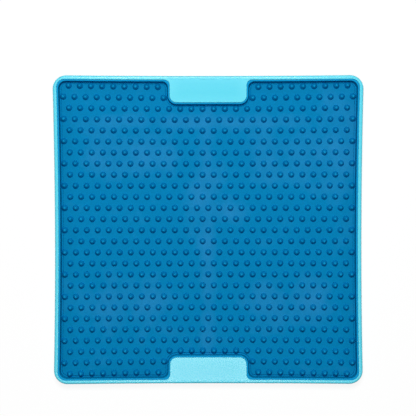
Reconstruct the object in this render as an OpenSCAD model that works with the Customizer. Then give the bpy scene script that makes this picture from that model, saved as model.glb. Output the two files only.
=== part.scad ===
// Lick mat: a hard square tray with a raised rim and two end tabs, a soft pad with rows of
// domed nubs that lines it, and four soft feet.
// X runs across the mat, Y from tab to tab, Z up. The origin is the middle of the footprint,
// on the surface that the feet stand on.

/* [Tray] */
// Width across the corners
mat_w = 201.6; // [170:0.2:260]
// Length across the corners, from tab end to tab end
mat_l = 201; // [170:0.2:260]
// Radius of the outer corners
corner_r = 9.1; // [5:0.1:11]
// How far each side curves in at its middle
side_draw = 1.3; // [0:0.05:2.5]
// How far each end curves in at its middle
end_draw = 0.65; // [0:0.05:2.5]
// Width of the raised rim, from the outer edge to the pad
rim_w = 2.5; // [1.8:0.1:4]
// Radius of the rim's inner corners
recess_corner_r = 5.4; // [3:0.1:7]
// Thickness of the floor
floor_t = 2; // [1.6:0.1:3]
// Height of the rim's top above the pad's lip
rim_rise = 0.6; // [0.2:0.1:1.5]
// How far the rounding of the rim's outer edge reaches in
round_w = 1.3; // [0.6:0.1:1.7]
// How far the rounding of the rim's outer edge reaches down
round_h = 1.6; // [0.8:0.1:2.4]
// How much further in the wall stands at its foot than at the rim
wall_draft = 1; // [0.4:0.1:1.6]
// Bevel round the wall's foot
foot_bevel = 0.8; // [0.4:0.1:1]

/* [Tabs] */
// Width of each end tab
tab_w = 49.9; // [36:0.1:70]
// Reach of each end tab, from the outer edge inwards
tab_reach = 17.2; // [12:0.1:24]
// Radius of the tab's free corners
tab_corner_r = 4.4; // [2:0.1:6]
// Radius where the tab meets the rim
tab_blend_r = 3.4; // [2:0.1:6]
// Thickness of the skin and walls round the hollows under a tab
tab_skin = 2.2; // [1.6:0.1:3]
// Number of hollows under a tab
tab_cells = 3; // [2:1:5]
// Corner radius of a hollow
cell_r = 1.5; // [0.6:0.1:2.5]

/* [Underside] */
// Depth of the skirt and the ribs below the floor
rib_h = 1; // [0.6:0.1:2]
// Width of a rib
rib_w = 1.6; // [1:0.1:2.4]
// Distance of each rib from the middle
rib_at = 30; // [26:0.5:38]
// Width of the skirt round the underside
skirt_w = 2.4; // [1.8:0.1:4]

/* [Pad] */
// Thickness of the sheet
sheet_t = 2; // [1.5:0.1:3]
// Thickness of the lip that lines the rim and the tabs
lip_t = 1.5; // [1:0.1:2]
// Height of the lip above the sheet
lip_h = 3; // [2:0.1:5]
// Radius of the corners inside the lip
lip_corner_r = 5; // [3:0.1:8]
// Radius inside the lip where it turns from the rim to a tab
lip_blend_r = 4; // [3:0.1:6]
// Width of the groove at the foot of the lip
groove_w = 1.4; // [0.8:0.1:1.8]
// Depth of the groove
groove_d = 0.9; // [0.4:0.1:1.2]
// Gap between the pad and the tray's walls
pad_gap = 0.05; // [0.02:0.01:0.2]

/* [Nubs] */
// Diameter of a nub at the sheet
nub_d = 4.2; // [3:0.1:4.6]
// Height of a nub above the sheet
nub_h = 3.4; // [2.4:0.1:3.5]
// Radius of a nub's rounded tip
nub_tip_r = 1; // [0.6:0.1:1.4]
// Distance between nubs in a row, and between rows
nub_pitch = 7.24; // [6.6:0.01:10]
// Least gap between a nub and the lip
nub_to_lip = 0.15; // [0.1:0.05:2]
// How far the nubs by a side's wall are drawn in at mid-side
nub_side_draw = 1.05; // [0:0.05:1.5]
// How far the nubs by an end's wall are drawn in at mid-end
nub_end_draw = 1.6; // [0:0.05:2]

/* [Keying plugs] */
// Distance between the plugs that key the pad into the floor
plug_pitch = 60; // [54:0.5:66]
// Diameter of a plug at the sheet
plug_top_d = 5; // [4:0.1:7]
// Diameter of a plug at the underside of the floor
plug_foot_d = 7; // [7.1:0.1:9]

/* [Feet] */
// Distance of each foot from the side and from the end that it stands by
foot_inset = 20.5; // [16:0.5:30]
// Height of the tread, the part of a foot that shows
tread_h = 1; // [0.6:0.1:3]
// Diameter of the tread
tread_d = 14; // [12:0.5:16]
// Bevel round the tread
tread_bevel = 0.4; // [0.2:0.1:0.5]
// Diameter of the stem
stem_d = 8; // [6:0.5:10]
// Length of the stem above the tread
stem_l = 1.7; // [1.2:0.1:2.2]
// Gap round the stem in its socket
stem_gap = 0.05; // [0.02:0.01:0.2]
// Wall of the collar round the socket
collar_w = 3; // [2:0.1:4]

/* [Hidden] */
half_w = mat_w / 2;
half_l = mat_l / 2;
skirt_z = tread_h;
under_z = skirt_z + rib_h;
floor_z = under_z + floor_t;
sheet_z = floor_z + sheet_t;
lip_z = sheet_z + lip_h;
rim_z = lip_z + rim_rise;
tab_x = tab_w / 2;
tab_y = half_l - tab_reach;
foot_x = half_w - foot_inset;
foot_y = half_l - foot_inset;
corner_steps = 8;
side_steps = 12;
round_steps = 5;
nub_fn = 24;
plug_fn = 48;
foot_fn = 64;
nub_r = nub_d / 2;
nub_root = groove_d + 0.2;
overlap = 1;
nubs_across = ceil(half_w / nub_pitch);
nubs_along = ceil(half_l / nub_pitch);
tray_colour = "#6ee0f4";
pad_colour = "#0a74ad";
foot_colour = "#0a5f92";

// Outlines

// Pulls a point towards the middle lines, by the full draw at mid-side and not at all at the corners
function drawn_in(p) = [
    p.x * (1 - side_draw / half_w * (1 - pow(p.y / half_l, 2))),
    p.y * (1 - end_draw / half_l * (1 - pow(p.x / half_w, 2)))
];

function arc(cx, cy, r, from, to) = [
    for (i = [0:corner_steps])
        let (a = from + (to - from) * i / corner_steps)
            [cx + r * cos(a), cy + r * sin(a)]
];

function mirrored_x(pts) = [for (i = [len(pts) - 1:-1:0]) [-pts[i].x, pts[i].y]];

function mirrored_y(pts) = [for (i = [len(pts) - 1:-1:0]) [pts[i].x, -pts[i].y]];

// The whole loop from its quarter with x and y above 0
function from_quarter(q) = let (half = concat(q, mirrored_x(q))) concat(half, mirrored_y(half));

// Evenly spaced points up a line at x, and back along a line at y, that stop short of the middle
function up_side(x, top) = [for (i = [0:side_steps - 1]) [x, top * (i + 0.5) / side_steps]];

function along_end(from, y, to) = [
    for (i = [1:side_steps - 1])
        [from + (to - from) * i / side_steps, y]
];

// The tray's outer edge, moved in by inset
function tray_line(inset) = let (
    r = corner_r - inset,
    x = half_w - inset,
    y = half_l - inset,
    q = concat(
        up_side(x, y - r),
        arc(x - r, y - r, r, 0, 90),
        along_end(x - r, y, 0)
    )
) [for (p = from_quarter(q)) drawn_in(p)];

// The wall of the recess round the rim and the tabs, moved in by gap. The radii change evenly
// across the lip, from the wall's to those inside the lip.
function recess_line(gap) = let (
    lip = pad_gap + lip_t,
    across = min(max((gap - pad_gap) / lip_t, 0), 1),
    r = recess_corner_r + across * (lip_corner_r + lip - recess_corner_r) - gap,
    x = half_w - rim_w - gap,
    y = half_l - rim_w - gap,
    blend = tab_blend_r + across * (lip_blend_r + lip - tab_blend_r) - gap,
    turn = tab_x + gap + blend,
    free = tab_corner_r + gap,
    q = concat(
        up_side(x, y - r),
        arc(x - r, y - r, r, 0, 90),
        along_end(x - r, y, turn),
        arc(turn, y - blend, blend, 90, 180),
        arc(tab_x - tab_corner_r, tab_y + tab_corner_r, free, 0, -90),
        [[(tab_x - tab_corner_r) / 2, tab_y - gap]]
    )
) [for (p = from_quarter(q)) drawn_in(p)];

function rounded_box(x0, y0, x1, y1, r) = concat(
    arc(x1 - r, y1 - r, r, 0, 90),
    arc(x0 + r, y1 - r, r, 90, 180),
    arc(x0 + r, y0 + r, r, 180, 270),
    arc(x1 - r, y0 + r, r, 270, 360)
);

// A line's points extruded from z0 to z1
module slab(line, z0, z1) {
    translate([0, 0, z0])
        linear_extrude(z1 - z0)
            polygon(line);
}

// Tray

// The outer skin's section, as inset and height, from the foot bevel up to the rounded rim
skin_section = concat(
    [[wall_draft + foot_bevel, skirt_z]],
    [[wall_draft, skirt_z + foot_bevel]],
    [
        for (i = [0:round_steps])
            let (a = 90 * i / round_steps)
                [round_w * (1 - cos(a)), rim_z - round_h * (1 - sin(a))]
    ]
);

// One closed skin through the section's rings, with a fan to the middle at its foot and top
module tray_blank() {
    rings = [for (s = skin_section) [for (p = tray_line(s[0])) [p.x, p.y, s[1]]]];
    n = len(rings[0]);
    last = len(rings) - 1;
    walls = [
        for (k = [0:last - 1], i = [0:n - 1], upper = [0, 1])
            let (j = (i + 1) % n, a = k * n, b = a + n)
                upper == 0 ? [a + i, b + j, a + j] : [a + i, b + i, b + j]
    ];
    foot_fan = [for (i = [0:n - 1]) [len(rings) * n, i, (i + 1) % n]];
    top_fan = [for (i = [0:n - 1]) [len(rings) * n + 1, last * n + (i + 1) % n, last * n + i]];
    polyhedron(
        points = concat([for (ring = rings, p = ring) p], [[0, 0, skirt_z], [0, 0, rim_z]]),
        faces = concat(walls, foot_fan, top_fan)
    );
}

// The hollows that keep the tab's skin and walls even, side by side between thin ribs
module tab_hollows() {
    inner = tab_y + tab_skin;
    outer = half_l - wall_draft - skirt_w - end_draw;
    span = tab_w - 2 * tab_skin;
    cell = (span - (tab_cells - 1) * rib_w) / tab_cells;
    for (i = [0:tab_cells - 1]) {
        x0 = -span / 2 + i * (cell + rib_w);
        slab(rounded_box(x0, inner, x0 + cell, outer, cell_r), 0, rim_z - tab_skin);
    }
}

module at_feet() {
    for (x = [-foot_x, foot_x], y = [-foot_y, foot_y])
        translate([x, y, 0])
            children();
}

module at_plugs() {
    for (x = [-plug_pitch, 0, plug_pitch], y = [-plug_pitch, 0, plug_pitch])
        translate([x, y, 0])
            children();
}

// A plug that widens downwards, or with nothing less its hole in the floor
module plug(less) {
    cylinder(h = floor_t, d1 = plug_foot_d - less, d2 = plug_top_d - less, $fn = plug_fn);
}

module under_ribs() {
    for (s = [-rib_at, rib_at]) {
        translate([s - rib_w / 2, -half_l, 0])
            cube([rib_w, mat_l, under_z]);
        translate([-half_w, s - rib_w / 2, 0])
            cube([mat_w, rib_w, under_z]);
    }
    at_feet()
        cylinder(h = under_z, d = stem_d + 2 * stem_gap + 2 * collar_w, $fn = foot_fn);
}

module tray() {
    color(tray_colour)
        difference() {
            tray_blank();
            slab(recess_line(0), floor_z, rim_z + overlap);
            difference() {
                slab(tray_line(wall_draft + skirt_w), 0, under_z);
                under_ribs();
            }
            tab_hollows();
            mirror([0, 1, 0])
                tab_hollows();
            at_feet()
                cylinder(h = skirt_z + stem_l, d = stem_d + 2 * stem_gap, $fn = foot_fn);
            at_plugs()
                translate([0, 0, under_z])
                    plug(0);
        }
}

// Pad

// A nub's centre must keep this far inside the recess wall
nub_inset = lip_t + pad_gap + nub_to_lip + nub_r;

// Pulls a nub's centre towards the middle lines, the more the nearer it stands to a wall
function nub_drawn_in(p) = let (u = p.x / half_w, v = p.y / half_l) [
    p.x - nub_side_draw * u * abs(u) * (1 - v * v),
    p.y - nub_end_draw * v * abs(v) * (1 - u * u)
];

function clear_of_edge(p) =
    let (
        x = drawn_in([half_w - rim_w, p.y]).x - abs(p.x),
        y = drawn_in([p.x, half_l - rim_w]).y - abs(p.y),
        r = lip_corner_r + lip_t + pad_gap
    )
    x >= nub_inset && y >= nub_inset
    && (x > r || y > r || norm([r - x, r - y]) <= r - nub_inset);

function clear_of_tab(p) =
    let (edge = drawn_in([tab_x, tab_y]))
    abs(p.x) >= edge.x + nub_inset || abs(p.y) <= edge.y - nub_inset;

// Rows alternate: one with a nub on the middle line, the next with its nubs half a pitch over
nub_centres = [
    for (row = [-nubs_along:nubs_along], k = [-nubs_across - 1:nubs_across])
        let (
            shift = row % 2 == 0 ? 0 : 0.5,
            flat = [(k + shift) * nub_pitch, row * nub_pitch],
            p = nub_drawn_in(flat)
        )
        if (clear_of_edge(p) && clear_of_tab(p)) p
];

// A cone that runs smoothly into its round tip, rooted in the sheet below the groove's floor
module nub() {
    ball_z = nub_h - nub_tip_r;
    slope = atan2(ball_z, nub_r) + asin(nub_tip_r / norm([nub_r, ball_z]));
    shoulder_r = nub_tip_r * sin(slope);
    shoulder_z = ball_z + nub_tip_r * cos(slope);
    rotate_extrude($fn = nub_fn) {
        polygon([
            [0, -nub_root],
            [nub_r, -nub_root],
            [nub_r, 0],
            [shoulder_r, shoulder_z],
            [0, shoulder_z]
        ]);
        intersection() {
            translate([0, ball_z])
                circle(nub_tip_r, $fn = nub_fn);
            translate([0, shoulder_z])
                square([nub_r, nub_r]);
        }
    }
}

module pad() {
    color(pad_colour)
        union() {
            difference() {
                slab(recess_line(pad_gap), floor_z, lip_z);
                slab(recess_line(pad_gap + lip_t + groove_w), sheet_z, lip_z + overlap);
                difference() {
                    slab(recess_line(pad_gap + lip_t), sheet_z - groove_d, lip_z + overlap);
                    slab(recess_line(pad_gap + lip_t + groove_w), 0, sheet_z);
                }
            }
            for (p = nub_centres)
                translate([p.x, p.y, sheet_z])
                    nub();
            at_plugs()
                translate([0, 0, under_z])
                    plug(2 * pad_gap);
        }
}

// Feet

module foot(x, y) {
    color(foot_colour)
        translate([x, y, 0]) {
            cylinder(h = tread_bevel, d1 = tread_d - 2 * tread_bevel, d2 = tread_d, $fn = foot_fn);
            translate([0, 0, tread_bevel])
                cylinder(h = tread_h - tread_bevel, d = tread_d, $fn = foot_fn);
            cylinder(h = tread_h + stem_l - stem_gap, d = stem_d, $fn = foot_fn);
        }
}

echo(nubs = len(nub_centres), height = rim_z);

tray();
pad();
foot(-foot_x, foot_y);  // foot_back_left
foot(foot_x, foot_y);  // foot_back_right
foot(-foot_x, -foot_y);  // foot_front_left
foot(foot_x, -foot_y);  // foot_front_right
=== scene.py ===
# Lick mat: a hard tray, a soft pad with rows of domed nubs, and four soft feet.
import functools
import math

import bmesh
import bpy
from mathutils import Euler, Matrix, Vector, geometry


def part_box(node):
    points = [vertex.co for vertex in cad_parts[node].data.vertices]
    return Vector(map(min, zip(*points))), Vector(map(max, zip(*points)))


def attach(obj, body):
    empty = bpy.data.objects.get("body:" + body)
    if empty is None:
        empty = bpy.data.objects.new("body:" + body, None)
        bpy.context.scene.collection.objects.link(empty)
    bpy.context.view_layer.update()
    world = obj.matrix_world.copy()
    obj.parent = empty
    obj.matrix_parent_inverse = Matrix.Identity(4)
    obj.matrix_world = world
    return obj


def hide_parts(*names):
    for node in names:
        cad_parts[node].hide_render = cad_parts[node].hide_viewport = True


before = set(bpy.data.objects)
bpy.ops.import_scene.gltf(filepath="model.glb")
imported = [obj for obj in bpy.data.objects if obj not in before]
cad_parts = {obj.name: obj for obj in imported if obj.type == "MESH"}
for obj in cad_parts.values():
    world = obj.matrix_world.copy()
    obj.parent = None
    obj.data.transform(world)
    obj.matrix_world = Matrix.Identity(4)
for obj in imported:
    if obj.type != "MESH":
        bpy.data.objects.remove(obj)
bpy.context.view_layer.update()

MM = 0.001

FEET = ["foot_back_left", "foot_back_right", "foot_front_left", "foot_front_right"]

# Sizes in millimetres, as the solids have them
MAT_W = 201.6
MAT_L = 201.0
CORNER_R = 9.1
SIDE_DRAW = 1.3
END_DRAW = 0.65
RIM_W = 2.5
RECESS_CORNER_R = 5.4
RIM_RISE = 0.6
ROUND_W = 1.3
ROUND_H = 1.6
WALL_DRAFT = 1.0
TAB_W = 49.9
TAB_REACH = 17.2
TAB_CORNER_R = 4.4
TAB_BLEND_R = 3.4
TAB_SKIN = 2.2
TAB_CELLS = 3
CELL_R = 1.5
CELL_LEDGE = 0.8
RIB_W = 1.6
RIB_AT = 30.0
SKIRT_W = 2.4
SHEET_T = 2.0
LIP_T = 1.5
LIP_H = 3.0
LIP_CORNER_R = 5.0
LIP_BLEND_R = 4.0
GROOVE_W = 1.4
GROOVE_D = 0.9
PAD_GAP = 0.05
NUB_R = 2.1
NUB_H = 3.4
NUB_TIP_R = 1.0
NUB_ROOT = 1.1
NUB_PITCH = 7.24
NUB_TO_LIP = 0.15
NUB_SIDE_DRAW = 1.05
NUB_END_DRAW = 1.6
PLUG_PITCH = 60.0
PLUG_TOP_R = 2.5
PLUG_FOOT_R = 3.5
STEM_R = 4.0
STEM_GAP = 0.05
STEM_L = 1.7
COLLAR_W = 3.0

# Heights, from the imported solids
SKIRT_Z, RIM_Z = (corner.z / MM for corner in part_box("tray"))
UNDER_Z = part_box("pad")[0].z / MM
LIP_Z = RIM_Z - RIM_RISE
SHEET_Z = LIP_Z - LIP_H
FLOOR_Z = SHEET_Z - SHEET_T

HALF_W = MAT_W / 2
HALF_L = MAT_L / 2
TAB_X = TAB_W / 2
TAB_Y = HALF_L - TAB_REACH
HOLLOW_Y = TAB_Y + TAB_REACH / 2

# How finely the curves are cut
CORNER_STEPS = 12
SIDE_STEPS = 14
ROUND_STEPS = 8
EDGE_STEPS = 4
CIRCLE_STEPS = 48
NUB_TIP_STEPS = 4
NUB_SIDES = 12

# Edges that turn by more than this many degrees stay sharp
SHARP_DEG = 40

# Points of a nub this close together are one, and a point this far past its axis is still on it
SAME_POINT = 0.001
ON_AXIS = 0.01

# The grid that the nubs are taken from
NUB_COLUMNS = 28
NUB_ROWS = 27

# Edge roundings that the solids leave out
INNER_EDGE_R = 0.2
LIP_EDGE_R = 0.1
LIP_TOP_R = 0.4
LIP_LEAN = 0.4
SKIRT_EDGE_R = 0.8
RIB_EDGE_R = 0.3
FILLET_R = 0.4
TREAD_EDGE_R = 0.4

# Depth and radii of the dish in a tread, and the bevel round a stem's end
DISH_H = 0.3
DISH_R = 4.2
DISH_FLOOR_R = 3.4
STEM_BEVEL = 0.3

# Heights from which a nub, above the sheet, and the lip, above the ground, are painted paler: a painted
# highlight
TIP_LIGHT_FROM = 2.5
LIP_LIGHT_FROM = 8.4

# The most that a nub's painted highlight is dimmed, by chance and at a gate
DIMMED = 0.7
DIMMED_SEED = 4
GATE_DIMMED = 0.8

# Painted shade on the rubber by the walls, and where it starts and is full, as shares of the half size
PAINTED_WALL_SHADE = 0.9
WALL_SPAN = (0.84, 0.96)

# Where the rubber is taken to have been injected, mirrored to all four quarters of the pad, and
# where a gate's effect starts to fade and ends, as shares of its reach
GATE = (52, 48, 0)
GATE_REACH = (30, 18, 1)
GATE_FADE = (0.2, 0.6)

# Where the pale haze, partly painted sheen, gathers, as middles and reaches: beside each gate, mirrored,
# and then in the middle, on the line where the flows met, across the far end, and by the right side
GATE_HAZE_AND_SHEEN = (((37, 48, 0), (15, 17, 1)), ((67, 48, 0), (15, 17, 1)))
OTHER_HAZE_AND_SHEEN = (
    ((-3, 26, 0), (12, 22, 1)),
    ((10, 12, 0), (14, 9, 1)),
    ((-1, 0, 0), (5, 120, 1)),
    ((0, 70, 0), (80, 5, 1)),
    ((86, 58, 0), (14, 44, 1)),
)

# Where gathered haze starts to thin and ends, as shares of its reach, and what it adds to the
# noise. The haze starts to show and is full where their sum has the shown values
HAZE_FADE = (0.3, 1.5)
HAZE_GAIN = 0.3
HAZE_SHOWN = (0.56, 0.98)
HAZE_PATTERN = 1

# How far from the middle of a tab its painted shade starts to fade and is gone, along and across
TAB_SHADE_ALONG = (17, 26)
TAB_SHADE_ACROSS = (3, 9)

# How rough the plastic's rounded edges are, and how far up a face looks where they start and end
EDGE_ROUGHNESS = 0.4
EDGE_FACING = (0.98, 1)

# How bright the room is beside the lamps
ROOM_LIGHT = 0.03

# How far the floor reaches each way, in metres
FLOOR_REACH = 3

# The camera's place in millimetres, its turn in degrees and its lens, fitted to the nub rows
CAMERA_PLACE = (-1.79, 45.25, 900)
CAMERA_TURN = (-1.979, -0.108, -0.053)
CAMERA_LENS = 119.0


# Outlines: each is a list of points, in millimetres

def drawn_in(x, y):
    """Pulls a point towards the middle lines, most at mid-side and not at all at the corners."""
    return (
        x * (1 - SIDE_DRAW / HALF_W * (1 - (y / HALF_L) ** 2)),
        y * (1 - END_DRAW / HALF_L * (1 - (x / HALF_W) ** 2)),
    )


def arc(cx, cy, r, start, end, steps=CORNER_STEPS):
    """Points round a centre, from one angle to another in degrees."""
    angles = [math.radians(start + (end - start) * i / steps) for i in range(steps + 1)]
    return [(cx + r * math.cos(a), cy + r * math.sin(a)) for a in angles]


def circle(cx, cy, r):
    return arc(cx, cy, r, 0, 360, CIRCLE_STEPS)[:-1]


def from_quarter(quarter):
    """The whole loop from its quarter with x and y above 0."""
    half = quarter + [(-x, y) for x, y in reversed(quarter)]
    return half + [(x, -y) for x, y in reversed(half)]


def up_side(x, top):
    """Points up the upper half of a straight side, short of both ends."""
    return [(x, top * (i + 0.5) / SIDE_STEPS) for i in range(SIDE_STEPS)]


def along_end(start, y, end):
    """Points along a straight end, short of both ends."""
    return [(start + (end - start) * i / SIDE_STEPS, y) for i in range(1, SIDE_STEPS)]


def tray_line(inset):
    """The tray's outer edge, moved in by inset."""
    r, x, y = CORNER_R - inset, HALF_W - inset, HALF_L - inset
    quarter = up_side(x, y - r) + arc(x - r, y - r, r, 0, 90) + along_end(x - r, y, 0)
    return [drawn_in(*p) for p in from_quarter(quarter)]


def recess_line(gap):
    """The wall of the recess round the rim and the tabs, moved in by gap."""
    lip = PAD_GAP + LIP_T
    across = min(max((gap - PAD_GAP) / LIP_T, 0), 1)
    r = RECESS_CORNER_R + across * (LIP_CORNER_R + lip - RECESS_CORNER_R) - gap
    x, y = HALF_W - RIM_W - gap, HALF_L - RIM_W - gap
    blend = TAB_BLEND_R + across * (LIP_BLEND_R + lip - TAB_BLEND_R) - gap
    turn = TAB_X + gap + blend
    free = TAB_CORNER_R + gap
    quarter = (
        up_side(x, y - r)
        + arc(x - r, y - r, r, 0, 90)
        + along_end(x - r, y, turn)
        + arc(turn, y - blend, blend, 90, 180)
        + arc(TAB_X - TAB_CORNER_R, TAB_Y + TAB_CORNER_R, free, 0, -90)
        + [((TAB_X - TAB_CORNER_R) / 2, TAB_Y - gap)]
    )
    return [drawn_in(*p) for p in from_quarter(quarter)]


def rounded_box(low, high, radii, inset):
    """A rectangle moved in by inset, with its corner radii from the right back one round to the left."""
    (x0, y0), (x1, y1) = low, high
    corners = ((x1, y1), (x0, y1), (x0, y0), (x1, y0))
    inwards = ((-1, -1), (1, -1), (1, 1), (-1, 1))
    line = []
    for i, ((x, y), (sx, sy), r) in enumerate(zip(corners, inwards, radii)):
        line += arc(x + sx * r, y + sy * r, r - inset, 90 * i, 90 * (i + 1))
    return line


def rounding(inset, z, r, start, end, height=None, steps=EDGE_STEPS):
    """Section points (inset, z) of a rounded edge, about its centre, from one angle to another."""
    angles = [math.radians(start + (end - start) * i / steps) for i in range(steps + 1)]
    return [(inset + r * math.cos(a), z + (height or r) * math.sin(a)) for a in angles]


def circles_about(x, y):
    """Gives circles about a point, by their radius."""
    return lambda r: circle(x, y, r)


def middle(node):
    """The middle of a node's box in plan."""
    low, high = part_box(node)
    return (low.x + high.x) / 2 / MM, (low.y + high.y) / 2 / MM


# Meshes

class Shell:
    """A closed surface put together from loops of points."""

    def __init__(self):
        self.points = []
        self.faces = []

    def loop(self, line, z):
        first = len(self.points)
        self.points += [(x * MM, y * MM, z * MM) for x, y in line]
        return list(range(first, len(self.points)))

    def band(self, a, b):
        """Faces between two loops that have as many points."""
        n = len(a)
        self.faces += [(a[i], a[(i + 1) % n], b[(i + 1) % n], b[i]) for i in range(n)]

    def wall(self, line_at, section):
        """Bands along a section of (inset, z) points. Gives the first loop and the last."""
        loops = [self.loop(line_at(inset), z) for inset, z in section]
        for a, b in zip(loops, loops[1:]):
            self.band(a, b)
        return loops[0], loops[-1]

    def fill(self, *loops):
        """A flat face between an outer loop and any loops inside it."""
        outlines = [[Vector(self.points[i]) / MM for i in loop] for loop in loops]
        order = [i for loop in loops for i in loop]
        for corners in geometry.tessellate_polygon(outlines):
            self.faces.append(tuple(order[c] for c in corners))


def piece(name, shell, material):
    """Makes a shell an object with outward faces, smooth except at sharp edges."""
    bm = bmesh.new()
    points = [bm.verts.new(p) for p in shell.points]
    for face in shell.faces:
        bm.faces.new([points[i] for i in face])
    bmesh.ops.recalc_face_normals(bm, faces=bm.faces)
    mesh = bpy.data.meshes.new(name)
    bm.to_mesh(mesh)
    bm.free()
    mesh.shade_smooth()
    mesh.set_sharp_from_angle(angle=math.radians(SHARP_DEG))
    mesh.materials.append(material)
    obj = bpy.data.objects.new(name, mesh)
    bpy.context.scene.collection.objects.link(obj)
    flat = obj.modifiers.new("flat faces stay flat", "WEIGHTED_NORMAL")
    flat.keep_sharp = True
    return obj


def settle(obj):
    """Gives an object the mesh that its modifiers make, and removes them."""
    evaluated = obj.evaluated_get(bpy.context.evaluated_depsgraph_get())
    mesh = bpy.data.meshes.new_from_object(evaluated)
    obj.modifiers.clear()
    obj.data = mesh


def stand_for(obj, node):
    """Puts an object in the place of a CAD node."""
    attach(obj, "root")
    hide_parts(node)


# Materials

def linear(code):
    """A hex sRGB colour as the linear values that a shader takes."""
    channels = [int(code[i:i + 2], 16) / 255 for i in (1, 3, 5)]
    return [c / 12.92 if c <= 0.04045 else ((c + 0.055) / 1.055) ** 2.4 for c in channels] + [1.0]


def add(tree, kind, *ordered, inputs=None, **fields):
    """Adds a node. Its inputs, in order or by key, take a value, a socket or a node's first output."""
    node = tree.nodes.new(kind)
    for key, value in fields.items():
        setattr(node, key, value)
    for key, value in [*enumerate(ordered), *(inputs or {}).items()]:
        if isinstance(value, bpy.types.Node):
            value = value.outputs[0]
        if isinstance(value, bpy.types.NodeSocket):
            tree.links.new(value, node.inputs[key])
        else:
            node.inputs[key].default_value = value
    return node


def in_metres(sizes):
    """Sizes in millimetres, as the metres that Blender takes."""
    return [size * MM for size in sizes]


def share_from(tree, place, middle, reach):
    """How far a place lies from a middle, as a share of the reach."""
    away = add(tree, "ShaderNodeVectorMath", place, in_metres(middle), operation="SUBTRACT")
    part = add(tree, "ShaderNodeVectorMath", away, in_metres(reach), operation="DIVIDE")
    return add(tree, "ShaderNodeVectorMath", part, operation="LENGTH").outputs["Value"]


def per_mm(size):
    """The scale at which a texture's features are about this many millimetres across."""
    return 1 / (size * MM)


# Inputs and the output of a colour Mix node, whose names are shared by its other kinds
FACTOR, COLOUR_A, COLOUR_B = 0, 6, 7
COLOUR = 2


def tab_shade_mask(tree, place):
    """1 over the middle of the hollows under a tab, and less towards the tab's edges."""
    mirrored = add(tree, "ShaderNodeVectorMath", place, operation="ABSOLUTE")
    tab_middle = in_metres((0, HOLLOW_Y, 0))
    away = add(tree, "ShaderNodeVectorMath", mirrored, tab_middle, operation="SUBTRACT")
    off = add(tree, "ShaderNodeVectorMath", away, operation="ABSOLUTE")
    distance = add(tree, "ShaderNodeSeparateXYZ", off).outputs
    along = add(tree, "ShaderNodeMapRange", distance["X"], *in_metres(TAB_SHADE_ALONG), 1, 0)
    across = add(tree, "ShaderNodeMapRange", distance["Y"], *in_metres(TAB_SHADE_ACROSS), 1, 0)
    return add(tree, "ShaderNodeMath", along, across, operation="MULTIPLY")


def polypropylene():
    """Polypropylene moulded in a spark-grained tool: a satin, slightly waxy and milky sky cyan."""
    material = bpy.data.materials.new("moulded polypropylene, satin cyan")
    material.use_nodes = True
    tree = material.node_tree
    tree.nodes.clear()
    place = add(tree, "ShaderNodeTexCoord").outputs["Object"]
    # The melt's flow leaves broad, barely lighter bands
    flow = add(tree, "ShaderNodeTexNoise", inputs={"Vector": place, "Scale": per_mm(45), "Detail": 3})
    body = add(
        tree,
        "ShaderNodeMix",
        data_type="RGBA",
        inputs={FACTOR: flow, COLOUR_A: linear("#5cdbf1"), COLOUR_B: linear("#64dff4")},
    )
    # Painted shade: the middles of the tabs, over the hollows under them, are painted a deeper colour,
    # for the light that the tabs' edges catch and their middles miss
    colour = add(
        tree,
        "ShaderNodeMix",
        data_type="RGBA",
        inputs={
            FACTOR: tab_shade_mask(tree, place),
            COLOUR_A: body.outputs[COLOUR],
            COLOUR_B: linear("#52d7ee"),
        },
    )
    polish = add(tree, "ShaderNodeMapRange", inputs={"Value": flow, "To Min": 0.18, "To Max": 0.22})
    # Rounded edges are rubbed duller than the flat faces
    facing = add(tree, "ShaderNodeNewGeometry").outputs["Normal"]
    level = add(tree, "ShaderNodeSeparateXYZ", facing).outputs["Z"]
    rubbed = add(tree, "ShaderNodeMapRange", level, *EDGE_FACING, EDGE_ROUGHNESS, polish)
    # The tool's grain, 0.1 mm across, is drawn at 0.4 mm and as shallow as it looks from a step away
    grain = add(tree, "ShaderNodeTexNoise", inputs={"Vector": place, "Scale": per_mm(0.4), "Detail": 2})
    bump = add(
        tree, "ShaderNodeBump", inputs={"Height": grain, "Strength": 0.02, "Distance": 0.02 * MM}
    )
    shader = add(
        tree,
        "ShaderNodeBsdfPrincipled",
        inputs={
            "Base Color": colour.outputs[COLOUR],
            "Roughness": rubbed,
            "Normal": bump,
            "IOR": 1.49,
            "Specular IOR Level": 0.4,
            "Subsurface Weight": 0.12,
            "Subsurface Radius": (0.6, 1.0, 1.2),
            "Subsurface Scale": 1.0 * MM,
        },
    )
    add(tree, "ShaderNodeOutputMaterial", inputs={"Surface": shader})
    return material


def haze_and_sheen_share(tree, flat, noise):
    """How thick the pale haze, partly painted sheen, lies: by its noise, and more beside the gates and
    where the flows met.
    """
    mirrored = add(tree, "ShaderNodeVectorMath", flat, operation="ABSOLUTE")
    shares = [share_from(tree, mirrored, *patch) for patch in GATE_HAZE_AND_SHEEN]
    shares += [share_from(tree, flat, *patch) for patch in OTHER_HAZE_AND_SHEEN]
    nearest = shares[0]
    for share in shares[1:]:
        nearest = add(tree, "ShaderNodeMath", nearest, share, operation="MINIMUM")
    gathered = add(tree, "ShaderNodeMapRange", nearest, *HAZE_FADE, HAZE_GAIN, 0)
    thick = add(tree, "ShaderNodeMath", noise, gathered, operation="ADD")
    return add(tree, "ShaderNodeMapRange", thick, *HAZE_SHOWN)


def painted_wall_shade(tree, place):
    """1 on the open sheet, and less by the walls: painted shade."""
    part = add(tree, "ShaderNodeVectorMath", place, (HALF_W * MM, HALF_L * MM, 1), operation="DIVIDE")
    mirrored = add(tree, "ShaderNodeVectorMath", part, operation="ABSOLUTE")
    shares = add(tree, "ShaderNodeSeparateXYZ", mirrored).outputs
    nearest = add(tree, "ShaderNodeMath", shares["X"], shares["Y"], operation="MAXIMUM")
    return add(tree, "ShaderNodeMapRange", nearest, *WALL_SPAN, 1, PAINTED_WALL_SHADE)


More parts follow.
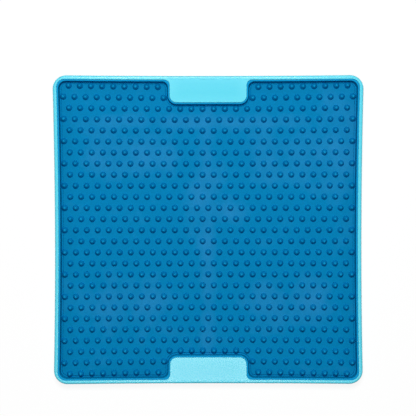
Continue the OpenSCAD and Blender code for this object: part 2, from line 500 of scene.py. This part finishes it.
def painted_highlight_share(tree, flat):
    """How much painted highlight the lip and each tip take: less on a nub dimmed by chance, and least at
    a gate.
    """
    height = add(tree, "ShaderNodeAttribute", attribute_name="painted_top_light").outputs["Fac"]
    by_chance = add(tree, "ShaderNodeAttribute", attribute_name="dimmed").outputs["Fac"]
    mirrored = add(tree, "ShaderNodeVectorMath", flat, operation="ABSOLUTE")
    from_gate = share_from(tree, mirrored, GATE, GATE_REACH)
    at_gate = add(tree, "ShaderNodeMapRange", from_gate, *GATE_FADE, GATE_DIMMED, 0)
    dimmed = add(tree, "ShaderNodeMath", by_chance, at_gate, operation="MAXIMUM")
    left = add(tree, "ShaderNodeMath", 1, dimmed, operation="SUBTRACT")
    return add(tree, "ShaderNodeMath", height, left, operation="MULTIPLY")


def rubber(name, deep, pale, haze_and_sheen, flank_shade, tip):
    """Matt moulded thermoplastic rubber, with the pale haze that its oils bring to the surface, partly
    painted sheen, and with painted shade and highlights.
    """
    material = bpy.data.materials.new(name)
    material.use_nodes = True
    tree = material.node_tree
    tree.nodes.clear()
    place = add(tree, "ShaderNodeTexCoord").outputs["Object"]
    flat = add(tree, "ShaderNodeVectorMath", place, (1, 1, 0), operation="MULTIPLY")
    haze = add(
        tree,
        "ShaderNodeTexNoise",
        noise_dimensions="4D",
        inputs={"Vector": flat, "W": HAZE_PATTERN, "Scale": per_mm(20), "Detail": 4, "Roughness": 0.6},
    )
    body = add(
        tree,
        "ShaderNodeMix",
        data_type="RGBA",
        inputs={FACTOR: haze, COLOUR_A: linear(deep), COLOUR_B: linear(pale)},
    )
    # The pale haze in the colour is partly painted sheen
    hazed_and_sheened = add(
        tree,
        "ShaderNodeMix",
        data_type="RGBA",
        inputs={
            FACTOR: haze_and_sheen_share(tree, flat, haze),
            COLOUR_A: body.outputs[COLOUR],
            COLOUR_B: linear(haze_and_sheen),
        },
    )
    # Moulding grain, about 0.3 mm across, drawn at 0.9 mm so that it shows
    grain = add(
        tree,
        "ShaderNodeTexNoise",
        inputs={"Vector": place, "Scale": per_mm(0.9), "Detail": 3, "Roughness": 0.6},
    )
    speck = add(tree, "ShaderNodeMapRange", inputs={"Value": grain, "To Min": 0.8, "To Max": 1.2})
    # The grain's speckle, times the painted shade by the walls
    grain_and_wall_shade = add(tree, "ShaderNodeMath", speck, painted_wall_shade(tree, place), operation="MULTIPLY")
    grained_and_shaded = add(
        tree,
        "ShaderNodeMix",
        data_type="RGBA",
        blend_type="MULTIPLY",
        inputs={FACTOR: 1.0, COLOUR_A: hazed_and_sheened.outputs[COLOUR], COLOUR_B: grain_and_wall_shade},
    )
    # Painted shade: the steep flanks of the nubs are painted a deeper blue. Painted highlight: most of
    # the tips, and the lip's top, are painted paler
    steep = add(tree, "ShaderNodeAttribute", attribute_name="flank_shade").outputs["Fac"]
    sided = add(
        tree,
        "ShaderNodeMix",
        data_type="RGBA",
        inputs={FACTOR: steep, COLOUR_A: grained_and_shaded.outputs[COLOUR], COLOUR_B: linear(flank_shade)},
    )
    colour = add(
        tree,
        "ShaderNodeMix",
        data_type="RGBA",
        inputs={FACTOR: painted_highlight_share(tree, flat), COLOUR_A: sided.outputs[COLOUR], COLOUR_B: linear(tip)},
    )
    rough = add(tree, "ShaderNodeMapRange", inputs={"Value": haze, "To Min": 0.5, "To Max": 0.68})
    bump = add(
        tree, "ShaderNodeBump", inputs={"Height": grain, "Strength": 0.2, "Distance": 0.05 * MM}
    )
    shader = add(
        tree,
        "ShaderNodeBsdfPrincipled",
        inputs={
            "Base Color": colour.outputs[COLOUR],
            "Roughness": rough,
            "Normal": bump,
            "IOR": 1.48,
            "Specular IOR Level": 0.02,
        },
    )
    add(tree, "ShaderNodeOutputMaterial", inputs={"Surface": shader})
    return material


# Tray

def cell_span(place, far):
    """Where a cell starts and ends: before the ribs, between them or after them."""
    near = RIB_AT + RIB_W / 2
    return {-1: (-far, -near), 0: (RIB_W - near, near - RIB_W), 1: (near, far)}[place]


def cell_line(column, row, inset):
    """The edge of one of the nine shallow cells under the tray, drawn in beside the skirt only."""
    x0, x1 = cell_span(column, HALF_W - WALL_DRAFT - SKIRT_W)
    y0, y1 = cell_span(row, HALF_L - WALL_DRAFT - SKIRT_W)
    skirt_r = CORNER_R - WALL_DRAFT - SKIRT_W
    corners = ((1, 1), (-1, 1), (-1, -1), (1, -1))
    radii = [skirt_r if (column, row) == corner else CELL_R for corner in corners]
    line = []
    for x, y in rounded_box((x0, y0), (x1, y1), radii, inset):
        in_x, in_y = drawn_in(x, y)
        line.append((in_x if abs(x) > HALF_W / 2 else x, in_y if abs(y) > HALF_L / 2 else y))
    return line


def tab_hollow_line(row, index, inset):
    """The edge of one of the hollows under a tab."""
    span = TAB_W - 2 * TAB_SKIN
    width = (span - (TAB_CELLS - 1) * RIB_W) / TAB_CELLS
    x0 = -span / 2 + index * (width + RIB_W)
    y0 = TAB_Y + TAB_SKIN
    y1 = HALF_L - WALL_DRAFT - SKIRT_W - END_DRAW - CELL_LEDGE
    line = rounded_box((x0, y0), (x0 + width, y1), [CELL_R] * 4, inset)
    return [(x, row * y) for x, y in line]


def make_tray(material):
    """The tray with its rim and tabs, and the ribs, hollows, plug holes and foot collars under it."""
    shell = Shell()
    skirt_edge = rounding(WALL_DRAFT + SKIRT_EDGE_R, SKIRT_Z + SKIRT_EDGE_R, SKIRT_EDGE_R, 270, 180)
    crown = rounding(ROUND_W, RIM_Z - ROUND_H, ROUND_W, 180, 90, ROUND_H, ROUND_STEPS)
    foot, crown_top = shell.wall(tray_line, skirt_edge + crown)
    inner_edge = rounding(-INNER_EDGE_R, RIM_Z - INNER_EDGE_R, INNER_EDGE_R, 90, 0)
    edge_top, floor = shell.wall(recess_line, inner_edge + [(0, FLOOR_Z)])
    shell.fill(crown_top, edge_top)

    # What opens in each cell's ceiling: a plug's hole, a foot's collar, a tab's hollows
    openings = {(column, row): [] for column in (-1, 0, 1) for row in (-1, 0, 1)}
    tops = []
    for place, inside in openings.items():
        hole = circles_about(place[0] * PLUG_PITCH, place[1] * PLUG_PITCH)
        top, foot_of_hole = shell.wall(hole, [(PLUG_TOP_R, FLOOR_Z), (PLUG_FOOT_R, UNDER_Z)])
        tops.append(top)
        inside.append(foot_of_hole)
    shell.fill(floor, *tops)

    socket_r = STEM_R + STEM_GAP
    collar_r = socket_r + COLLAR_W
    for name in FEET:
        x, y = middle(name)
        round_foot = circles_about(x, y)
        fillet = rounding(collar_r + FILLET_R, UNDER_Z - FILLET_R, FILLET_R, 90, 180)
        root, tip = shell.wall(round_foot, fillet + [(collar_r, SKIRT_Z)])
        mouth, end = shell.wall(round_foot, [(socket_r, SKIRT_Z), (socket_r, SKIRT_Z + STEM_L)])
        shell.fill(tip, mouth)
        shell.fill(end)
        openings[math.copysign(1, x), math.copysign(1, y)].append(root)

    hollow_top = RIM_Z - TAB_SKIN
    hollow_section = [(0, UNDER_Z)] + rounding(FILLET_R, hollow_top - FILLET_R, FILLET_R, 180, 90)
    for row in (-1, 1):
        for index in range(TAB_CELLS):
            mouth, end = shell.wall(functools.partial(tab_hollow_line, row, index), hollow_section)
            shell.fill(end)
            openings[0, row].append(mouth)

    mouths = []
    cell_section = rounding(-RIB_EDGE_R, SKIRT_Z + RIB_EDGE_R, RIB_EDGE_R, 270, 360)
    cell_section += rounding(FILLET_R, UNDER_Z - FILLET_R, FILLET_R, 180, 90)
    for place, inside in openings.items():
        mouth, ceiling = shell.wall(functools.partial(cell_line, *place), cell_section)
        mouths.append(mouth)
        shell.fill(ceiling, *inside)
    shell.fill(foot, *mouths)
    return piece("hard_tray", shell, material)


# Pad

def nub_tree(material):
    """A node tree, in millimetres, that stands the rows of nubs on the pad's body."""
    tree = bpy.data.node_groups.new("rows of nubs", "GeometryNodeTree")
    reach = PAD_GAP + LIP_T + NUB_TO_LIP + NUB_R
    ball_z = NUB_H - NUB_TIP_R
    slope = math.atan2(ball_z, NUB_R) + math.asin(NUB_TIP_R / math.hypot(NUB_R, ball_z))
    sizes = {
        "Pitch": NUB_PITCH,
        "Root": (NUB_R + NUB_ROOT / math.tan(slope), 0, -NUB_ROOT),
        "Foot": (NUB_R, 0, 0),
        "Cone tip": (0, 0, NUB_R * math.tan(slope)),
        "Tip radius": NUB_TIP_R,
        "Nub height": NUB_H,
        "Painted light from": TIP_LIGHT_FROM,
        "Sheet height": SHEET_Z,
        "Mat half size": (HALF_W, HALF_L, 1),
        "Draw": (NUB_SIDE_DRAW, NUB_END_DRAW, 0),
        "Side limit": HALF_W - SIDE_DRAW - RIM_W - reach + NUB_SIDE_DRAW,
        "Tab side limit": TAB_X + reach,
        "Tab end limit": TAB_Y - END_DRAW - reach + NUB_END_DRAW,
    }
    tree.interface.new_socket("Body", in_out="INPUT", socket_type="NodeSocketGeometry")
    for name, size in sizes.items():
        kind = "NodeSocketVector" if isinstance(size, tuple) else "NodeSocketFloat"
        tree.interface.new_socket(name, in_out="INPUT", socket_type=kind)
    tree.interface.new_socket("Pad", in_out="OUTPUT", socket_type="NodeSocketGeometry")
    given = add(tree, "NodeGroupInput").outputs

    # A grid of places, whose every other row moves along by half a pitch
    width = add(tree, "ShaderNodeMath", given["Pitch"], NUB_COLUMNS - 1, operation="MULTIPLY")
    length = add(tree, "ShaderNodeMath", given["Pitch"], NUB_ROWS - 1, operation="MULTIPLY")
    grid = add(tree, "GeometryNodeMeshGrid", width, length, NUB_COLUMNS, NUB_ROWS)
    place = add(tree, "GeometryNodeInputPosition")
    row_y = add(tree, "ShaderNodeSeparateXYZ", place).outputs["Y"]
    odd = add(tree, "ShaderNodeMath", row_y, given["Pitch"], operation="PINGPONG")
    even = add(tree, "ShaderNodeMath", given["Pitch"], odd, operation="SUBTRACT")
    shift = add(tree, "ShaderNodeMath", even, 0.5, operation="MULTIPLY")
    along = add(tree, "ShaderNodeCombineXYZ", shift)
    staggered = add(tree, "GeometryNodeSetPosition", grid, inputs={"Offset": along})

    # None stands past the last file, or on a tab
    mirrored = add(tree, "ShaderNodeVectorMath", place, operation="ABSOLUTE")
    off = add(tree, "ShaderNodeSeparateXYZ", mirrored).outputs
    past_side = add(tree, "ShaderNodeMath", off["X"], given["Side limit"], operation="GREATER_THAN")
    by_tab = add(tree, "ShaderNodeMath", off["X"], given["Tab side limit"], operation="LESS_THAN")
    past_tab = add(tree, "ShaderNodeMath", off["Y"], given["Tab end limit"], operation="GREATER_THAN")
    on_tab = add(tree, "ShaderNodeMath", by_tab, past_tab, operation="MULTIPLY")
    left_out = add(tree, "ShaderNodeMath", past_side, on_tab, operation="MAXIMUM")
    kept = add(tree, "GeometryNodeDeleteGeometry", staggered, left_out, domain="POINT")

    # The files and rows are drawn in at their middles, as the walls are
    part = add(tree, "ShaderNodeVectorMath", place, given["Mat half size"], operation="DIVIDE")
    squared = add(tree, "ShaderNodeVectorMath", part, part, operation="MULTIPLY")
    squares = add(tree, "ShaderNodeSeparateXYZ", squared).outputs
    crossed = add(tree, "ShaderNodeCombineXYZ", squares["Y"], squares["X"])
    bow = add(tree, "ShaderNodeVectorMath", (1, 1, 1), crossed, operation="SUBTRACT")
    part_size = add(tree, "ShaderNodeVectorMath", part, operation="ABSOLUTE")
    outward = add(tree, "ShaderNodeVectorMath", part, part_size, operation="MULTIPLY")
    full_pull = add(tree, "ShaderNodeVectorMath", outward, given["Draw"], operation="MULTIPLY")
    pull = add(tree, "ShaderNodeVectorMath", full_pull, bow, operation="MULTIPLY")
    lift = add(tree, "ShaderNodeCombineXYZ", 0, 0, given["Sheet height"])
    move = add(tree, "ShaderNodeVectorMath", lift, pull, operation="SUBTRACT")
    drawn = add(tree, "GeometryNodeSetPosition", kept, inputs={"Offset": move})

    # One nub: its section, from under the sheet up its side and over its tip
    far_foot = add(tree, "ShaderNodeVectorMath", given["Foot"], (-1, 1, 1), operation="MULTIPLY")
    lines = add(
        tree,
        "GeometryNodeCurvePrimitiveQuadrilateral",
        mode="POINTS",
        inputs={
            "Point 1": given["Root"],
            "Point 2": given["Foot"],
            "Point 3": given["Cone tip"],
            "Point 4": far_foot,
        },
    )
    opened = add(tree, "GeometryNodeSetSplineCyclic", lines, inputs={"Cyclic": False})
    corner = add(tree, "GeometryNodeInputPosition")
    corner_z = add(tree, "ShaderNodeSeparateXYZ", corner).outputs["Z"]
    at_tip = add(tree, "ShaderNodeMath", corner_z, SAME_POINT, operation="GREATER_THAN")
    bend = add(tree, "ShaderNodeMath", at_tip, given["Tip radius"], operation="MULTIPLY")
    steps = add(tree, "ShaderNodeMapRange", at_tip, 0, 1, 1, NUB_TIP_STEPS)
    fillet = {"Count": steps, "Radius": bend}
    rounded = add(tree, "GeometryNodeFilletCurve", opened, inputs=fillet, mode="POLY")
    at = add(tree, "ShaderNodeSeparateXYZ", add(tree, "GeometryNodeInputPosition")).outputs
    beyond = add(tree, "ShaderNodeMath", at["X"], -ON_AXIS, operation="LESS_THAN")
    half = add(tree, "GeometryNodeDeleteGeometry", rounded, beyond, domain="POINT")
    sized = add(tree, "GeometryNodeSetCurveRadius", half, inputs={"Radius": at["X"]})
    on_axis = add(tree, "ShaderNodeCombineXYZ", 0, 0, at["Z"])
    upright = add(tree, "GeometryNodeSetPosition", sized, inputs={"Position": on_axis})
    ring = add(tree, "GeometryNodeCurvePrimitiveCircle", inputs={"Resolution": NUB_SIDES, "Radius": 1})
    size = add(tree, "GeometryNodeInputRadius")
    sweep = {"Scale": size, "Fill Caps": True}
    swept = add(tree, "GeometryNodeCurveToMesh", upright, ring, inputs=sweep)
    closed = add(tree, "GeometryNodeMergeByDistance", swept, inputs={"Distance": SAME_POINT})
    # All of it is smooth but for the flat cap under the sheet
    facing = add(tree, "ShaderNodeSeparateXYZ", add(tree, "GeometryNodeInputNormal")).outputs["Z"]
    outside = add(tree, "ShaderNodeMath", facing, -0.5, operation="GREATER_THAN")
    smooth = add(tree, "GeometryNodeSetShadeSmooth", closed, outside)

    # How much painted highlight each point takes, and how much painted shade its steep flank takes, for
    # the rubber
    painted_top_light = add(tree, "ShaderNodeMapRange", at["Z"], given["Painted light from"], given["Nub height"])
    tips = {"Name": "painted_top_light", "Value": painted_top_light}
    tipped = add(tree, "GeometryNodeStoreNamedAttribute", smooth, inputs=tips)
    flanks = {"Name": "flank_shade", "Value": add(tree, "ShaderNodeMath", 1, painted_top_light, operation="SUBTRACT")}
    nub = add(tree, "GeometryNodeStoreNamedAttribute", tipped, inputs=flanks)

    # A nub stands at each place. On some nubs the painted highlight is dimmed
    chance = add(tree, "FunctionNodeRandomValue", data_type="FLOAT", inputs={"Seed": DIMMED_SEED})
    share = add(tree, "ShaderNodeMath", chance.outputs["Value"], DIMMED, operation="MULTIPLY")
    luck = {"Name": "dimmed", "Value": share}
    places = add(tree, "GeometryNodeStoreNamedAttribute", drawn, inputs=luck)
    nubs = add(tree, "GeometryNodeInstanceOnPoints", places, inputs={"Instance": nub})
    scaled = add(tree, "GeometryNodeTransform", nubs, inputs={"Scale": (MM, MM, MM)})
    both = add(tree, "GeometryNodeJoinGeometry", scaled)
    tree.links.new(given["Body"], both.inputs[0])
    real = add(tree, "GeometryNodeRealizeInstances", both)
    finished = add(tree, "GeometryNodeSetMaterial", real, inputs={"Material": material})
    add(tree, "NodeGroupOutput", finished)
    return tree, sizes


def make_pad(material):
    """The pad's sheet, lip, groove and plugs, with the rows of nubs on it."""
    shell = Shell()
    inner = PAD_GAP + LIP_T
    groove_r = GROOVE_W / 2
    section = rounding(PAD_GAP + LIP_EDGE_R, FLOOR_Z + LIP_EDGE_R, LIP_EDGE_R, 270, 180)
    section += rounding(PAD_GAP + LIP_EDGE_R, LIP_Z - LIP_EDGE_R, LIP_EDGE_R, 180, 90)
    section += rounding(inner - LIP_LEAN - LIP_TOP_R, LIP_Z - LIP_TOP_R, LIP_TOP_R, 90, 0)
    section += rounding(inner + groove_r, SHEET_Z, groove_r, 180, 360, GROOVE_D, 2 * EDGE_STEPS)
    bottom, sheet = shell.wall(recess_line, section)
    shell.fill(sheet)
    roots = []
    for x in (-PLUG_PITCH, 0, PLUG_PITCH):
        for y in (-PLUG_PITCH, 0, PLUG_PITCH):
            sizes = [(PLUG_TOP_R - PAD_GAP, FLOOR_Z), (PLUG_FOOT_R - PAD_GAP, UNDER_Z)]
            root, end = shell.wall(circles_about(x, y), sizes)
            shell.fill(end)
            roots.append(root)
    shell.fill(bottom, *roots)
    pad = piece("soft_pad", shell, material)
    # The lip's top is painted paler towards its crest: painted light
    painted_top_light = pad.data.attributes.new("painted_top_light", "FLOAT", "POINT")
    for point, mark in zip(pad.data.vertices, painted_top_light.data):
        height = point.co.z / MM
        mark.value = min(max((height - LIP_LIGHT_FROM) / (LIP_Z - LIP_LIGHT_FROM), 0), 1)
    settle(pad)

    tree, sizes = nub_tree(material)
    rows = pad.modifiers.new("rows of nubs", "NODES")
    rows.node_group = tree
    for item in tree.interface.items_tree:
        if item.name in sizes:
            rows[item.identifier] = sizes[item.name]
    settle(pad)
    return pad


# Feet

def make_foot(node, material):
    """A foot with a dished tread and a stem."""
    low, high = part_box(node)
    x, y = middle(node)
    tread_r = (high.x - low.x) / 2 / MM
    top_z = high.z / MM
    shell = Shell()
    section = rounding(DISH_R, DISH_H, DISH_R - DISH_FLOOR_R, 180, 270, DISH_H)
    section += rounding(tread_r - TREAD_EDGE_R, TREAD_EDGE_R, TREAD_EDGE_R, 270, 360)
    section += [(tread_r, SKIRT_Z), (STEM_R, SKIRT_Z)]
    section += [(STEM_R, top_z - STEM_BEVEL), (STEM_R - STEM_BEVEL, top_z)]
    bottom, top = shell.wall(circles_about(x, y), section)
    shell.fill(bottom)
    shell.fill(top)
    return piece("soft_" + node, shell, material)


# Studio

def make_floor():
    """A white paper sweep: the camera and reflections see it as white, with the mat's shadow on it."""
    material = bpy.data.materials.new("white paper sweep")
    material.use_nodes = True
    tree = material.node_tree
    tree.nodes.clear()
    seen = add(tree, "ShaderNodeLightPath").outputs
    camera, mirror = seen["Is Camera Ray"], seen["Is Glossy Ray"]
    straight = add(tree, "ShaderNodeMath", camera, mirror, operation="MAXIMUM")
    through = seen["Is Transmission Ray"]
    direct = add(tree, "ShaderNodeMath", straight, through, operation="MAXIMUM")
    plain = add(tree, "ShaderNodeBsdfDiffuse", linear("#d8d8d8"))
    # Most of what the camera sees there is glow, so the mat's shadow on it is faint
    shaded = add(tree, "ShaderNodeBsdfDiffuse", linear("#5c5c5c"))
    glow = add(tree, "ShaderNodeEmission", inputs={"Strength": 0.9})
    white = add(tree, "ShaderNodeAddShader", shaded, glow)
    both = add(tree, "ShaderNodeMixShader", direct, plain, white)
    add(tree, "ShaderNodeOutputMaterial", both)
    mesh = bpy.data.meshes.new("floor")
    corners = [(x * FLOOR_REACH, y * FLOOR_REACH, 0) for x, y in ((-1, -1), (1, -1), (1, 1), (-1, 1))]
    mesh.from_pydata(corners, [], [(0, 1, 2, 3)])
    mesh.materials.append(material)
    floor = bpy.data.objects.new("floor", mesh)
    bpy.context.scene.collection.objects.link(floor)


def make_world():
    """A dim white room, which the camera sees as plain white."""
    world = bpy.data.worlds.new("white room")
    bpy.context.scene.world = world
    world.use_nodes = True
    tree = world.node_tree
    tree.nodes.clear()
    seen = add(tree, "ShaderNodeLightPath").outputs["Is Camera Ray"]
    strength = add(tree, "ShaderNodeMapRange", seen, inputs={"To Min": ROOM_LIGHT, "To Max": 1})
    room = add(tree, "ShaderNodeBackground", (1, 1, 1, 1), strength)
    add(tree, "ShaderNodeOutputWorld", room)


def make_lamp(name, place, size, watts):
    """A square lamp that points at the middle of the mat. Its place and size are in metres."""
    lamp = bpy.data.lights.new(name, "AREA")
    lamp.shape = "SQUARE"
    lamp.size = size
    lamp.energy = watts
    obj = bpy.data.objects.new(name, lamp)
    obj.location = place
    obj.rotation_euler = (-Vector(place)).to_track_quat("-Z", "Y").to_euler()
    bpy.context.scene.collection.objects.link(obj)


def make_camera():
    """A long lens 90 cm above the mat, a little behind its middle and tipped back towards it."""
    camera = bpy.data.cameras.new("camera")
    camera.sensor_width = 36
    camera.lens = CAMERA_LENS
    obj = bpy.data.objects.new("camera", camera)
    obj.location = in_metres(CAMERA_PLACE)
    obj.rotation_euler = Euler([math.radians(angle) for angle in CAMERA_TURN])
    bpy.context.scene.collection.objects.link(obj)
    bpy.context.scene.camera = obj


make_camera()
make_floor()
make_world()
make_lamp("overhead softbox", place=(-0.02, 0.39, 0.95), size=0.3, watts=9.3)
make_lamp("front softbox", place=(0, -0.55, 2.2), size=0.5, watts=7)
bpy.context.scene.view_settings.view_transform = "Standard"

plastic = polypropylene()
pad_rubber = rubber(
    "moulded rubber, deep blue",
    deep="#007bb0",
    pale="#0382b6",
    haze_and_sheen="#2284bb",
    flank_shade="#0078b6",
    tip="#1096ce",
)
foot_rubber = rubber(
    "moulded rubber, foot blue",
    deep="#006a9c",
    pale="#0472a2",
    haze_and_sheen="#1a76a6",
    flank_shade="#006eaa",
    tip="#1096ce",
)

tray = make_tray(plastic)
settle(tray)
stand_for(tray, "tray")
stand_for(make_pad(pad_rubber), "pad")
for node in FEET:
    foot = make_foot(node, foot_rubber)
    settle(foot)
    stand_for(foot, node)
